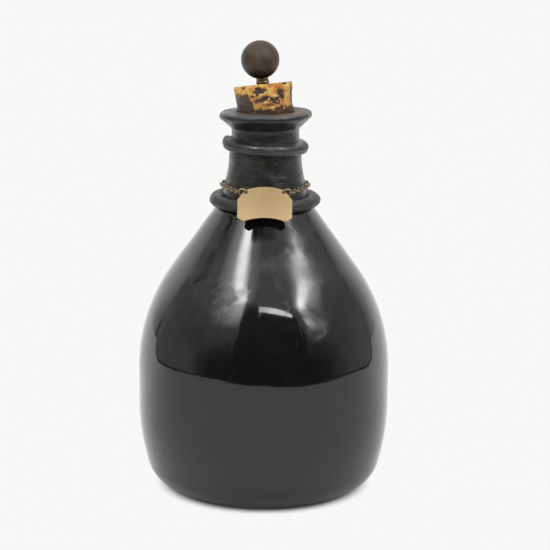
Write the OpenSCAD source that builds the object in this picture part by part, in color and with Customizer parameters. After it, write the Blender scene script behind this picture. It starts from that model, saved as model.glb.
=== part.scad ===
// Pear-shaped bottle of black glass with a string rim and a collar laid on its neck,
// a cork stopper with a ball knob, and a metal label hung on a chain round the neck.
// Millimetres, +Z up. The origin is the centre of the resting ring, and the label faces -Y.

/* [Body] */
// Widest diameter of the body
body_d = 144; // [136:1:160]
// Height of the lower edge of the straight belt
belt_z = 51.3; // [48:0.1:60]
// Height of the straight belt at the widest part
belt_h = 17; // [6:1:24]
// Radius of the bulging wall under the belt
lower_arc_r = 142; // [120:1:180]
// Radius of the rounded heel
heel_arc_r = 19; // [14:0.5:24]
// Radius of the shoulder's curve above the belt
shoulder_arc_r = 99; // [88:1:110]
// Slope of the straight upper shoulder, in degrees from the vertical
shoulder_slope = 36; // [33:0.5:39]
// Thickness of the glass
wall = 4.5; // [3.5:0.1:5.5]
// Height of the kick-up under the base
kick_h = 26; // [16:1:36]
// Radius of the kick-up at its foot, the inside of the resting ring
kick_r = 38; // [30:1:42]

/* [Neck and lip] */
// Radius of the neck at its foot, where the shoulder ends
neck_foot_r = 24.1; // [23:0.1:26]
// Height of the neck from its foot to the string rim's seat
neck_h = 24; // [21:0.5:32]
// Radius of the neck at the string rim's seat
neck_r = 20.4; // [19.8:0.1:21.5]
// Radius of the hollow curve in the neck's outline
neck_curve_r = 45; // [30:1:60]
// Height of the tapered seat under the string rim
rim_seat_h = 12; // [10.5:0.5:15]
// Radius of the throat between the string rim and the lip
throat_r = 18.9; // [18.4:0.1:19.6]
// Height of the lip's widest point above the throat's lower end
lip_rise = 11.1; // [9.5:0.1:14]
// How far the lip stands out beyond the throat
lip_stand = 7; // [5.5:0.1:8.5]
// Radius of the lip's rounded edge
lip_edge_r = 2.2; // [1.6:0.1:2.8]
// Slope of the lip's underside, in degrees from the vertical
lip_slope = 48; // [40:1:52]
// Radius of the hollow between the throat and the lip
throat_curve_r = 4; // [2:0.5:6]
// Diameter of the mouth
mouth_d = 32; // [30:0.2:33]
// Taper of the mouth's bore, in degrees to one side
bore_taper = 3.5; // [2:0.5:5]
// Depth of the tapered bore that holds the cork
bore_seat_h = 24; // [22:0.5:28]

/* [Laid-on glass] */
// How far the string rim stands out beyond its seat
rim_stand = 4.75; // [3.5:0.05:6]
// Radius of the string rim's two rounded lobes
rim_lobe_r = 2.6; // [2.4:0.1:3.2]
// Height between the centres of the two lobes
rim_lobe_gap = 2.5; // [2:0.1:3.4]
// Tilt of the string rim, higher on the left, in degrees
rim_tilt = 2.6; // [0:0.2:4]
// Thickness of the trail's end, lapped over the rim on the left
tail_d = 4.4; // [3.6:0.1:5]
// Sweep of the lapped end round the neck, in degrees
tail_sweep = 56; // [40:2:70]
// Place of the lapped end's middle round the neck, in degrees from +X
tail_turn = 190; // [150:5:230]
// Climb of the lapped end out of the rim, in degrees
tail_climb = 10; // [6:0.5:14]
// How far the collar stands out beyond the neck's foot
collar_stand = 7.3; // [6.4:0.1:8.4]
// Radius of the collar's round section
collar_section_r = 3.9; // [3.6:0.1:4.6]
// How far the collar's middle lies below the neck's foot
collar_drop = 1.1; // [0:0.1:2]

/* [Stopper] */
// Lean of the stopper to the left, in degrees
stopper_lean = 6.5; // [0:0.5:8]
// Height of the cork above the mouth
cork_proud = 14; // [10:0.5:20]
// Depth of the cork in the bore
cork_plug_h = 20; // [14:0.5:21]
// Diameter of the cork's top
cork_top_d = 33; // [32:0.2:36]
// Diameter of the cork's head at the mouth
cork_foot_d = 30.8; // [29:0.2:31]
// Clearance between the cork and the bore
cork_clearance = 0.1; // [0.05:0.01:0.2]
// Diameter of the ball knob
knob_d = 21.4; // [18:0.1:26]
// Depth of the spindle's socket in the knob
knob_socket_h = 9; // [6:0.5:12]
// Diameter of the stem under the knob
stem_d = 6.8; // [5.6:0.1:8]
// Height of the stem
stem_h = 4.7; // [3.5:0.1:8]
// How far the stem's bead stands out
stem_bead = 0.35; // [0.2:0.05:0.6]
// Diameter of the spindle through the cork
spindle_d = 3.6; // [3:0.1:4.2]
// Clearance round the spindle
spindle_clearance = 0.05; // [0.03:0.01:0.1]
// Diameter of the washer under the cork
washer_d = 16; // [12:0.5:18]
// Thickness of the washer
washer_t = 1.2; // [0.8:0.1:2]
// Width of the square nut
nut_w = 7; // [6:0.5:9]
// Height of the nut
nut_h = 2.6; // [2:0.1:3.4]
// Length of spindle below the nut
spindle_end = 1; // [0.5:0.1:2]

/* [Label] */
// Width of the label
label_w = 30; // [28:0.5:36]
// Depth of the label below the line of its holes
label_drop = 17; // [15:0.5:20]
// Height of the label's crown above the line of its holes
label_crown = 2.8; // [2.6:0.1:3.6]
// Thickness of the label
label_t = 0.6; // [0.5:0.05:0.7]
// Radius of the label's bend round the neck
label_bend_r = 70; // [50:5:120]
// Radius of the curved top edge
label_top_r = 34; // [30:1:60]
// Radius of the hollow bottom edge
label_foot_r = 37; // [30:1:60]
// Height of the hollow in the bottom edge
label_foot_rise = 2; // [0.5:0.1:3]
// Width of the cut top corners
top_cut_w = 5.2; // [4:0.1:5.6]
// Drop of the cut top corners below the line of the holes
top_cut_drop = 4.2; // [3:0.1:6]
// Width of the cut bottom corners
foot_cut_w = 3.6; // [1:0.1:5]
// Height of the cut bottom corners
foot_cut_h = 2.6; // [1:0.1:5]
// Inset of each hole from the label's side
hole_inset = 4.7; // [4.5:0.1:6]
// Diameter of the label's holes
hole_d = 2; // [1.9:0.05:2.05]
// Lean of the label's top towards the neck, in degrees
label_lean = 28; // [20:1:34]
// Distance along the label from its holes to where it rests on the collar
label_hang = 8; // [7:0.1:10]
// Gap between the label and the collar
label_gap = 0.3; // [0.2:0.05:0.6]

/* [Rings and chain] */
// Wire of the jump rings
ring_wire = 0.8; // [0.6:0.05:0.85]
// Radius of a jump ring to the middle of its wire
ring_r = 2.1; // [2:0.05:2.6]
// Turn of the rings from the label's normal, in degrees
ring_turn = 38; // [25:1:40]
// Wire of the chain's links
link_wire = 0.8; // [0.6:0.05:0.85]
// Length of a link
link_l = 4.8; // [4.7:0.05:5.4]
// Width of a link
link_w = 2.8; // [2.75:0.05:3]
// Clearance between one link and the next
link_clearance = 0.12; // [0.1:0.01:0.2]
// Clearance between a ring and the chain's end link
hook_clearance = 0.25; // [0.2:0.05:0.4]
// Gap between the chain and the neck
chain_gap = 0.35; // [0.3:0.05:0.8]

/* [Hidden] */
$fn = 96;

// A little extra that carries a cut past a face
over = 1;

// Body outline: arc centres and tangent points, each as [radius, height]
body_r = body_d / 2;
belt_top_z = belt_z + belt_h;
lower_centre = [body_r - lower_arc_r, belt_z];
heel_rise = asin((belt_z - heel_arc_r) / (lower_arc_r - heel_arc_r));
heel_centre = [lower_centre.x + (lower_arc_r - heel_arc_r) * cos(heel_rise), heel_arc_r];
shoulder_centre = [body_r - shoulder_arc_r, belt_top_z];
shoulder_end = shoulder_centre + shoulder_arc_r * [cos(shoulder_slope), sin(shoulder_slope)];
kick_arc_r = (kick_r * kick_r + kick_h * kick_h) / (2 * kick_h);
kick_centre_z = kick_h - kick_arc_r;

// Neck outline: a straight flare from the foot, tangent to a hollow curve
neck_foot_z = shoulder_end.y + (shoulder_end.x - neck_foot_r) / tan(shoulder_slope);
neck_top_z = neck_foot_z + neck_h;
neck_foot = [neck_foot_r, neck_foot_z];
neck_centre = [neck_r + neck_curve_r, neck_top_z];
neck_reach = neck_foot - neck_centre;
neck_turn = atan2(-neck_reach.y, -neck_reach.x) - acos(neck_curve_r / norm(neck_reach));
neck_tangent = neck_centre - neck_curve_r * [cos(neck_turn), sin(neck_turn)];

// Lip outline: a round edge over a sloping underside, hollowed into the throat
throat_z = neck_top_z + rim_seat_h;
lip_z = throat_z + lip_rise;
lip_top_z = lip_z + lip_edge_r;
lip_centre = [throat_r + lip_stand - lip_edge_r, lip_z];
lip_normal = [cos(lip_slope), -sin(lip_slope)];
lip_tangent = lip_centre + lip_edge_r * lip_normal;
throat_centre_r = throat_r + throat_curve_r;
throat_centre_z = (lip_normal.x * throat_centre_r - lip_normal * lip_tangent - throat_curve_r) / sin(lip_slope);
throat_centre = [throat_centre_r, throat_centre_z];
throat_tangent = throat_centre - throat_curve_r * lip_normal;

// Bore
mouth_r = mouth_d / 2;
bore_low_z = lip_top_z - bore_seat_h;
bore_low_r = mouth_r - bore_seat_h * tan(bore_taper);
inner_foot_r = neck_foot_r - wall;
inner_foot_z = shoulder_end.y + (shoulder_end.x - wall / cos(shoulder_slope) - inner_foot_r) / tan(shoulder_slope);

// Laid-on glass
rim_z = neck_top_z + rim_seat_h / 2;
rim_lobe_x = (neck_r + throat_r) / 2 + rim_stand - rim_lobe_r;
tail_r = tail_d / 2;
tail_x = rim_lobe_x + rim_lobe_r - tail_r;
tail_z = rim_lobe_gap / 2 + rim_lobe_r - tail_r;
collar_x = neck_foot_r + collar_stand - collar_section_r;
collar_z = neck_foot_z - collar_drop;

// Stopper, measured along its leaning axis from the middle of the mouth
stem_r = stem_d / 2;
knob_r = knob_d / 2;
knob_seat_z = cork_proud + stem_h;
knob_centre_z = knob_seat_z + sqrt(knob_r * knob_r - stem_r * stem_r);
spindle_top_z = knob_seat_z + knob_socket_h;
spindle_low_z = -(cork_plug_h + washer_t + nut_h + spindle_end);
spindle_hole_r = spindle_d / 2 + spindle_clearance;

// Label: its hinge line runs along X through the holes and the jump rings
hole_x = label_w / 2 - hole_inset;
label_sag = label_bend_r - sqrt(label_bend_r * label_bend_r - hole_x * hole_x);
label_out = [cos(label_lean), sin(label_lean)];
label_up = [-sin(label_lean), cos(label_lean)];
label_rest = [collar_x, collar_z] + (collar_section_r + label_gap + label_t / 2) * label_out;
hinge = label_rest + label_hang * label_up - label_sag * label_out;
ring_x = hole_x + ring_r;
hook_x = ring_x + ring_r;

// Chain: straight from each hook to the neck, then round the back in an arc
chain_z = hinge.y;
chain_r = neck_radius(chain_z) + link_w / 2 + chain_gap;
hook = [-hook_x, -hinge.x];
touch_turn = atan2(hook_x, hinge.x) + acos(chain_r / norm(hook));
touch = -chain_r * [sin(touch_turn), cos(touch_turn)];
run_l = norm(touch - hook);
arc_l = chain_r * (360 - 2 * touch_turn) * PI / 180;
chain_l = 2 * run_l + arc_l;
link_r = (link_w - link_wire) / 2;
link_side = link_l - link_w;
link_pitch = link_l - 2 * link_wire - link_clearance;
hook_off = link_l / 2 - link_wire - ring_wire / 2 - hook_clearance;
link_pairs = ceil((chain_l - 2 * hook_off) / (2 * link_pitch));
link_count = 2 * link_pairs + 1;
link_step = (chain_l - 2 * hook_off) / (link_count - 1);

// Radius of the neck's flare at a height between its foot and its hollow curve
function neck_radius(z) =
    neck_foot.x + (neck_tangent.x - neck_foot.x) * (z - neck_foot.y) / (neck_tangent.y - neck_foot.y);

// Place on the chain's left half at a distance from the left hook
function left_point(d) =
    d < run_l
        ? hook + (touch - hook) * d / run_l
        : -chain_r * [sin(arc_turn(d)), cos(arc_turn(d))];

// Turn round the neck from the front, reached on the arc
function arc_turn(d) = touch_turn + (d - run_l) / chain_r * 180 / PI;

// Heading of the chain's left half
function left_heading(d) = d < run_l ? atan2(touch.y - hook.y, touch.x - hook.x) : 180 - arc_turn(d);

function chain_point(d) =
    d <= chain_l / 2 ? left_point(d) : [-left_point(chain_l - d).x, left_point(chain_l - d).y];
function chain_heading(d) = d <= chain_l / 2 ? left_heading(d) : -left_heading(chain_l - d);
function link_name(i) = str("chain_link_", i < 10 ? "0" : "", i);

// The part of a round section between two heights
module band(z0, z1) {
    intersection() {
        children();
        translate([0, z0]) square([body_d, z1 - z0]);
    }
}

// Belly of revolution: inset 0 is the outside, inset wall the inside
module belly_section(inset) {
    heel_top_z = heel_arc_r - (heel_arc_r - inset) * sin(heel_rise);
    cone_z = shoulder_end.y - inset * sin(shoulder_slope);
    cone_r = shoulder_end.x - inset * cos(shoulder_slope);
    foot_r = inset > 0 ? inner_foot_r : neck_foot_r;
    foot_z = inset > 0 ? inner_foot_z : neck_foot_z;
    band(inset, heel_top_z) {
        translate(heel_centre) circle(heel_arc_r - inset);
    }
    translate([0, inset]) square([heel_centre.x, heel_top_z - inset]);
    band(heel_top_z, belt_z) {
        translate(lower_centre) circle(lower_arc_r - inset);
    }
    translate([0, belt_z]) square([body_r - inset, belt_h]);
    band(belt_top_z, cone_z) {
        translate(shoulder_centre) circle(shoulder_arc_r - inset);
    }
    polygon([[0, belt_top_z], [cone_r / 2, belt_top_z], [cone_r, cone_z], [foot_r, foot_z], [0, foot_z]]);
}

// Outside of the neck from its foot to the throat
module neck_section() {
    polygon([[0, neck_foot.y], neck_foot, neck_tangent, [0, neck_tangent.y]]);
    difference() {
        polygon([[0, neck_tangent.y], neck_tangent, [neck_r, neck_top_z], [0, neck_top_z]]);
        translate(neck_centre) circle(neck_curve_r);
    }
    polygon([[0, neck_top_z], [neck_r, neck_top_z], [throat_r, throat_z], [0, throat_z]]);
}

// Outside of the throat and the everted lip
module lip_section() {
    difference() {
        polygon([
            [0, throat_z],
            [throat_r, throat_z],
            [throat_r, throat_centre.y],
            throat_tangent,
            lip_tangent,
            [lip_centre.x, lip_top_z],
            [0, lip_top_z]
        ]);
        translate(throat_centre) circle(throat_curve_r);
    }
    translate(lip_centre) circle(lip_edge_r);
}

// Inside of the neck, open at the mouth
module bore_section() {
    top_r = mouth_r + over * tan(bore_taper);
    polygon([
        [0, inner_foot_z],
        [inner_foot_r, inner_foot_z],
        [bore_low_r, bore_low_z],
        [top_r, lip_top_z + over],
        [0, lip_top_z + over]
    ]);
}

module bottle_body() {
    color([0.07, 0.075, 0.07])
        rotate_extrude()
            difference() {
                union() {
                    belly_section(0);
                    neck_section();
                    lip_section();
                }
                difference() {
                    union() {
                        belly_section(wall);
                        bore_section();
                    }
                    translate([0, kick_centre_z]) circle(kick_arc_r + wall);
                }
                translate([0, kick_centre_z]) circle(kick_arc_r);
            }
}

// Glass trail laid round the neck, with its end lapped over itself on the left
module string_rim() {
    color([0.12, 0.12, 0.11])
        difference() {
            translate([0, 0, rim_z]) rotate([0, rim_tilt, 0]) {
                rotate_extrude() {
                    for (side = [-1, 1])
                        translate([rim_lobe_x, side * rim_lobe_gap / 2]) circle(rim_lobe_r);
                }
                translate([0, 0, tail_z]) rotate([0, 0, tail_turn]) rotate([-tail_climb, 0, 0])
                    rotate([0, 0, -tail_sweep / 2])
                        rotate_extrude(angle = tail_sweep)
                            translate([tail_x, 0]) circle(tail_r);
            }
            rotate_extrude() neck_section();
        }
}

// Heavy ring of glass laid where the neck meets the shoulder
module neck_collar() {
    color([0.12, 0.12, 0.11])
        rotate_extrude()
            difference() {
                translate([collar_x, collar_z]) circle(collar_section_r);
                belly_section(0);
                neck_section();
            }
}

// Frame of the stopper: the middle of the mouth, with the axis leaning to the left
module in_stopper() {
    translate([0, 0, lip_top_z]) rotate([0, -stopper_lean, 0]) children();
}

// Cork: the plug follows the upright bore, and the head leans
module cork() {
    top_r = cork_top_d / 2;
    low_r = cork_foot_d - top_r;
    span = 2 * cork_top_d;
    color([0.72, 0.5, 0.24])
        difference() {
            union() {
                intersection() {
                    in_stopper() translate([0, 0, -cork_proud]) cylinder(h = 2 * cork_proud, r1 = low_r, r2 = top_r);
                    translate([-span / 2, -span / 2, lip_top_z - over]) cube(span);
                }
                intersection() {
                    translate([0, 0, bore_low_z])
                        cylinder(h = bore_seat_h, r1 = bore_low_r - cork_clearance, r2 = mouth_r - cork_clearance);
                    in_stopper() translate([0, 0, -cork_plug_h]) cylinder(h = span, r = span);
                }
            }
            in_stopper() translate([0, 0, -span]) cylinder(h = 2 * span, r = spindle_hole_r);
        }
}

// Ball knob, flattened where it sits on the stem and bored for the spindle
module ball_knob() {
    color([0.25, 0.21, 0.19])
        in_stopper()
            difference() {
                translate([0, 0, knob_centre_z]) sphere(knob_r);
                translate([0, 0, knob_seat_z - knob_d]) cylinder(h = knob_d, r = knob_r);
                translate([0, 0, knob_seat_z - over])
                    cylinder(h = knob_socket_h + over + spindle_clearance, r = spindle_hole_r);
            }
}

// Short turned stem with a bead, between the cork and the knob
module stem_ferrule() {
    bead_r = stem_h / 5;
    color([0.45, 0.33, 0.18])
        in_stopper() translate([0, 0, cork_proud])
            rotate_extrude()
                difference() {
                    union() {
                        square([stem_r, stem_h]);
                        translate([stem_r + stem_bead - bead_r, stem_h / 2]) circle(bead_r);
                    }
                    square([spindle_hole_r, stem_h]);
                }
}

// Rod that holds the knob, stem, cork, washer and nut together
module spindle() {
    color([0.6, 0.47, 0.26])
        in_stopper() translate([0, 0, spindle_low_z])
            cylinder(h = spindle_top_z - spindle_low_z, d = spindle_d);
}

// Washer under the cork
module cork_washer() {
    color([0.6, 0.47, 0.26])
        in_stopper() translate([0, 0, -cork_plug_h - washer_t])
            difference() {
                cylinder(h = washer_t, d = washer_d);
                translate([0, 0, -over]) cylinder(h = washer_t + 2 * over, r = spindle_hole_r);
            }
}

// Square nut on the spindle's lower end
module spindle_nut() {
    color([0.55, 0.43, 0.24])
        in_stopper() translate([0, 0, -cork_plug_h - washer_t - nut_h])
            difference() {
                translate([-nut_w / 2, -nut_w / 2, 0]) cube([nut_w, nut_w, nut_h]);
                translate([0, 0, -over]) cylinder(h = nut_h + 2 * over, r = spindle_hole_r);
            }
}

// Frame of the hinge line, with Y along the label and Z out of its face
module on_hinge() {
    translate([0, -hinge.x, hinge.y]) rotate([90 - label_lean, 0, 0]) children();
}

// Outline of the label round its hinge line
module label_outline() {
    side = label_w / 2;
    difference() {
        intersection() {
            polygon([
                [-side, foot_cut_h - label_drop],
                [foot_cut_w - side, -label_drop],
                [side - foot_cut_w, -label_drop],
                [side, foot_cut_h - label_drop],
                [side, -top_cut_drop],
                [side - top_cut_w, label_crown],
                [top_cut_w - side, label_crown],
                [-side, -top_cut_drop]
            ]);
            translate([0, label_crown - label_top_r]) circle(label_top_r);
        }
        translate([0, label_foot_rise - label_drop - label_foot_r]) circle(label_foot_r);
    }
}

// Bowed plate with cut corners and a hole at each end of its crown
module label_plate() {
    depth = label_drop + label_crown;
    color([0.78, 0.66, 0.47])
        on_hinge()
            difference() {
                intersection() {
                    translate([0, 0, -label_w / 2]) linear_extrude(label_w) label_outline();
                    translate([0, depth, label_sag - label_bend_r]) rotate([90, 0, 0])
                        difference() {
                            cylinder(h = 2 * depth, r = label_bend_r + label_t / 2);
                            translate([0, 0, -over])
                                cylinder(h = 2 * (depth + over), r = label_bend_r - label_t / 2);
                        }
                }
                for (side = [-1, 1])
                    translate([side * hole_x, 0, -label_w / 2]) cylinder(h = label_w, d = hole_d);
            }
}

// Round jump ring that links a hole of the label to the end of the chain
module jump_ring(side) {
    on_hinge() translate([side * ring_x, 0, 0])
        rotate([-ring_turn, 0, 0]) rotate([90, 0, 0])
            rotate_extrude() translate([ring_r, 0]) circle(d = ring_wire);
}

module jump_ring_left() {
    color([0.7, 0.6, 0.42]) jump_ring(-1);
}

module jump_ring_right() {
    color([0.7, 0.6, 0.42]) jump_ring(1);
}

// Oval wire link lying flat along X
module oval_link() {
    for (end = [0, 180])
        rotate([0, 0, end]) {
            translate([link_side / 2, 0, 0]) rotate([0, 0, -90])
                rotate_extrude(angle = 180) translate([link_r, 0]) circle(d = link_wire);
            translate([-link_side / 2, link_r, 0]) rotate([0, 90, 0]) cylinder(h = link_side, d = link_wire);
        }
}

// One link of the chain: the odd ones lie flat, the even ones stand upright
module chain_link(i) {
    d = hook_off + (i - 1) * link_step;
    place = chain_point(d);
    color([0.42, 0.37, 0.26])
        translate([place.x, place.y, chain_z]) rotate([0, 0, chain_heading(d)])
            rotate([i % 2 == 1 ? 0 : 90, 0, 0]) oval_link();
}

bottle_body();
string_rim();
neck_collar();
cork();
ball_knob();
stem_ferrule();
spindle();
cork_washer();
spindle_nut();
label_plate();
jump_ring_left();
jump_ring_right();
for (i = [1:link_count])
    chain_link(i);
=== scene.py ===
import math
import random

import bmesh
import bpy
from mathutils import Matrix, Vector, noise


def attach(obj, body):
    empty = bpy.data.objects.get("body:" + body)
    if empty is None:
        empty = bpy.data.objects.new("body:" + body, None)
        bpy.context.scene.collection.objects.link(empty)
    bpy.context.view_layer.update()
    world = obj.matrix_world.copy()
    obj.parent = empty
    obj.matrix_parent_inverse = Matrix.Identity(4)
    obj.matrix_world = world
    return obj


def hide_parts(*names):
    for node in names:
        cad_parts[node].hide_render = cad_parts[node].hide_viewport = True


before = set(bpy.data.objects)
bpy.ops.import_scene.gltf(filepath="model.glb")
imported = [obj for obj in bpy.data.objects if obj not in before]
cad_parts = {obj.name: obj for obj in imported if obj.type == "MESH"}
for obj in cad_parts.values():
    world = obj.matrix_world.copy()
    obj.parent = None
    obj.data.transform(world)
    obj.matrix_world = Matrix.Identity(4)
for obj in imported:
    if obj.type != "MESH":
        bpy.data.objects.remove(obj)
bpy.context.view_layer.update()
print("frame loaded:", len(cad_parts), "nodes")

mm = 0.001
scene = bpy.context.scene


# small helpers for numbers

def clamp01(value):
    return max(0.0, min(1.0, value))


def ease(low, high, value):
    t = clamp01((value - low) / (high - low))
    return t * t * (3 - 2 * t)


def lerp(a, b, t):
    return a + (b - a) * t


def arcPoints(centre, radius, startDeg, endDeg, count):
    points = []
    for i in range(count + 1):
        a = math.radians(startDeg + (endDeg - startDeg) * i / count)
        points.append((centre[0] + radius * math.cos(a), centre[1] + radius * math.sin(a)))
    return points


# points between two ends, without the ends
def linePoints(start, end, count):
    return [(lerp(start[0], end[0], i / count), lerp(start[1], end[1], i / count)) for i in range(1, count)]


def turnsOf(count):
    return [2 * math.pi * i / count for i in range(count)]


# smooth unevenness at a point, as strong as told and about that size across
def unevenAt(point, strength, size, shift=(0, 0, 0)):
    return strength * noise.noise(Vector(point) / size + Vector(shift))


# helpers for meshes

def addPiece(name, verts, faces):
    mesh = bpy.data.meshes.new(name)
    mesh.from_pydata([tuple(v) for v in verts], [], faces)
    mesh.update()
    return addMesh(name, mesh)


def addMesh(name, mesh):
    work = bmesh.new()
    work.from_mesh(mesh)
    bmesh.ops.recalc_face_normals(work, faces=work.faces)
    work.to_mesh(mesh)
    work.free()
    for face in mesh.polygons:
        face.use_smooth = True
    piece = bpy.data.objects.new(name, mesh)
    scene.collection.objects.link(piece)
    return piece


def bakeModifiers(piece):
    bpy.context.view_layer.update()
    ready = piece.evaluated_get(bpy.context.evaluated_depsgraph_get())
    mesh = bpy.data.meshes.new_from_object(ready)
    piece.modifiers.clear()
    old = piece.data
    piece.data = mesh
    bpy.data.meshes.remove(old)
    for face in piece.data.polygons:
        face.use_smooth = True


# rings of points joined into a skin; a ring of one point closes an end
def skinRings(rings, loop=False):
    verts, rows, faces = [], [], []
    for ring in rings:
        rows.append(list(range(len(verts), len(verts) + len(ring))))
        verts.extend(ring)
    pairs = list(zip(rows, rows[1:])) + ([(rows[-1], rows[0])] if loop else [])
    for low, high in pairs:
        count = max(len(low), len(high))
        for i in range(count):
            j = (i + 1) % count
            if len(low) == 1:
                faces.append((low[0], high[j], high[i]))
            elif len(high) == 1:
                faces.append((low[i], low[j], high[0]))
            else:
                faces.append((low[i], low[j], high[j], high[i]))
    return verts, faces


def place(piece, body, nodes):
    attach(piece, body)
    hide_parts(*nodes)


# camera at the photo's angle
cameraSet = {"place": (6.0, -1032, 349.3), "pitch": 12.44, "roll": 0.5, "lens": 121.2, "sensor": 36}


def makeCamera(spec):
    data = bpy.data.cameras.new("camera")
    data.lens = spec["lens"]
    data.sensor_width = spec["sensor"]
    data.clip_start = 0.01
    data.clip_end = 50
    camera = bpy.data.objects.new("camera", data)
    camera.location = Vector(spec["place"]) * mm
    pitch = Matrix.Rotation(math.radians(90 - spec["pitch"]), 3, "X")
    roll = Matrix.Rotation(math.radians(spec["roll"]), 3, "Z")
    camera.rotation_euler = (pitch @ roll).to_euler()
    scene.collection.objects.link(camera)
    scene.camera = camera


makeCamera(cameraSet)
scene.view_settings.view_transform = "Standard"
print("camera set")


# helpers for nodes: a wire is a socket or a plain value

def feed(tree, socket, value):
    if isinstance(value, bpy.types.NodeSocket):
        tree.links.new(value, socket)
    elif socket.type == "RGBA" and len(value) == 3:
        socket.default_value = (*value, 1)
    else:
        socket.default_value = value


def wire(tree, node, **wires):
    for key, value in wires.items():
        feed(tree, node.inputs[key.replace("_", " ")], value)


def put(tree, kind, settings=None, **wires):
    node = tree.nodes.new("ShaderNode" + kind)
    for key, value in (settings or {}).items():
        setattr(node, key, value)
    wire(tree, node, **wires)
    return node


# a node whose sockets go by place, and not by name
def putInOrder(tree, kind, settings, *values):
    node = put(tree, kind, settings)
    for index, value in enumerate(values):
        feed(tree, node.inputs[index], value)
    return node


def mixColour(tree, factor, a, b, mode="MIX"):
    node = put(tree, "Mix", {"data_type": "RGBA", "blend_type": mode})
    feed(tree, node.inputs[0], factor)
    feed(tree, node.inputs[6], a)
    feed(tree, node.inputs[7], b)
    return node.outputs[2]


def calc(tree, operation, *values):
    return putInOrder(tree, "Math", {"operation": operation}, *values).outputs[0]


def times(tree, a, b):
    return calc(tree, "MULTIPLY", a, b)


def larger(tree, a, b):
    return calc(tree, "MAXIMUM", a, b)


# a colour laid over another where a mask is, at part of its strength
def tint(tree, under, over, mask, strength):
    return mixColour(tree, times(tree, mask, strength), under, over)


def vectorCalc(tree, operation, *values):
    return putInOrder(tree, "VectorMath", {"operation": operation}, *values).outputs


def remap(tree, value, low, high, outLow=0.0, outHigh=1.0):
    smooth = {"interpolation_type": "SMOOTHSTEP"}
    return putInOrder(tree, "MapRange", smooth, value, low, high, outLow, outHigh).outputs[0]


def ramp(tree, value, stops):
    node = put(tree, "ValToRGB", Fac=value)
    while len(node.color_ramp.elements) < len(stops):
        node.color_ramp.elements.new(0.5)
    for element, (position, colour) in zip(node.color_ramp.elements, stops):
        element.position = position
        element.color = (*colour, 1)
    return node.outputs[0]


def objectPoint(tree):
    return put(tree, "TexCoord").outputs["Object"]


def axes(tree, point):
    return put(tree, "SeparateXYZ", Vector=point).outputs


def byDistance(tree, point, middle, *over):
    return remap(tree, vectorCalc(tree, "DISTANCE", point, middle)["Value"], *over)


def noiseAt(tree, point, scale, detail=3.0, roughness=0.5, distortion=0.0):
    return put(tree, "TexNoise", Vector=point, Scale=scale, Detail=detail, Roughness=roughness,
               Distortion=distortion).outputs[0]


def stretched(tree, point, scale, turn=(0, 0, 0)):
    return put(tree, "Mapping", Vector=point, Scale=scale, Rotation=turn).outputs[0]


def newGroup(name, inputs, outputs):
    tree = bpy.data.node_groups.new(name, "ShaderNodeTree")
    for label, value in inputs.items():
        socket = tree.interface.new_socket(name=label, in_out="INPUT", socket_type="NodeSocketFloat")
        socket.default_value = value
    for label in outputs:
        tree.interface.new_socket(name=label, in_out="OUTPUT", socket_type="NodeSocketFloat")
    source = tree.nodes.new("NodeGroupInput")
    target = tree.nodes.new("NodeGroupOutput")
    return tree, source.outputs, target.inputs


def useGroup(tree, group, **values):
    node = tree.nodes.new("ShaderNodeGroup")
    node.node_tree = group
    for key, value in values.items():
        feed(tree, node.inputs[key], value)
    return node.outputs[0]


# soft patches of haze, grease or stain
def makeSmudges():
    tree, given, result = newGroup("smudges", {"Scale": 30, "Level": 0.5, "Soft": 0.15}, ["Mask"])
    cloud = noiseAt(tree, objectPoint(tree), given["Scale"], 4.0, 0.55, 0.7)
    top = calc(tree, "ADD", given["Level"], given["Soft"])
    feed(tree, result["Mask"], remap(tree, cloud, given["Level"], top))
    return tree


# small round specks, such as seeds in glass or dust
def makeSpecks():
    tree, given, result = newGroup("specks", {"Scale": 200, "Size": 0.1, "Share": 0.1}, ["Mask"])
    cells = put(tree, "TexVoronoi", Vector=objectPoint(tree), Scale=given["Scale"])
    core = times(tree, given["Size"], 0.5)
    spot = remap(tree, cells.outputs["Distance"], core, given["Size"], 1.0, 0.0)
    pick = put(tree, "SeparateColor", Color=cells.outputs["Color"]).outputs[0]
    chosen = calc(tree, "LESS_THAN", pick, given["Share"])
    feed(tree, result["Mask"], times(tree, spot, chosen))
    return tree


# broken thin lines, such as scratches
def makeHairlines():
    tree, given, result = newGroup("hairlines", {"Scale": 20, "Width": 0.01, "Level": 0.55}, ["Mask"])
    point = stretched(tree, objectPoint(tree), (1.0, 1.0, 0.35), (0.3, 0.5, 0.2))
    wander = put(tree, "TexNoise", Vector=point, Scale=60.0).outputs["Color"]
    bent = vectorCalc(tree, "MULTIPLY_ADD", wander, (0.004, 0.004, 0.004), point)[0]
    cells = put(tree, "TexVoronoi", {"feature": "DISTANCE_TO_EDGE"}, Vector=bent, Scale=given["Scale"])
    line = remap(tree, cells.outputs["Distance"], 0.0, given["Width"], 1.0, 0.0)
    gaps = noiseAt(tree, point, 90.0)
    seen = remap(tree, gaps, given["Level"], calc(tree, "ADD", given["Level"], 0.06))
    feed(tree, result["Mask"], times(tree, line, seen))
    return tree


# rubbed edges, from how sharply the surface turns
def makeEdgeWear():
    tree, given, result = newGroup("edge wear", {"Start": 0.52, "Full": 0.6}, ["Mask"])
    turn = put(tree, "NewGeometry").outputs["Pointiness"]
    rub = remap(tree, turn, given["Start"], given["Full"])
    broken = remap(tree, noiseAt(tree, objectPoint(tree), 900.0), 0.3, 0.6, 0.4, 1.0)
    feed(tree, result["Mask"], times(tree, rub, broken))
    return tree


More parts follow.
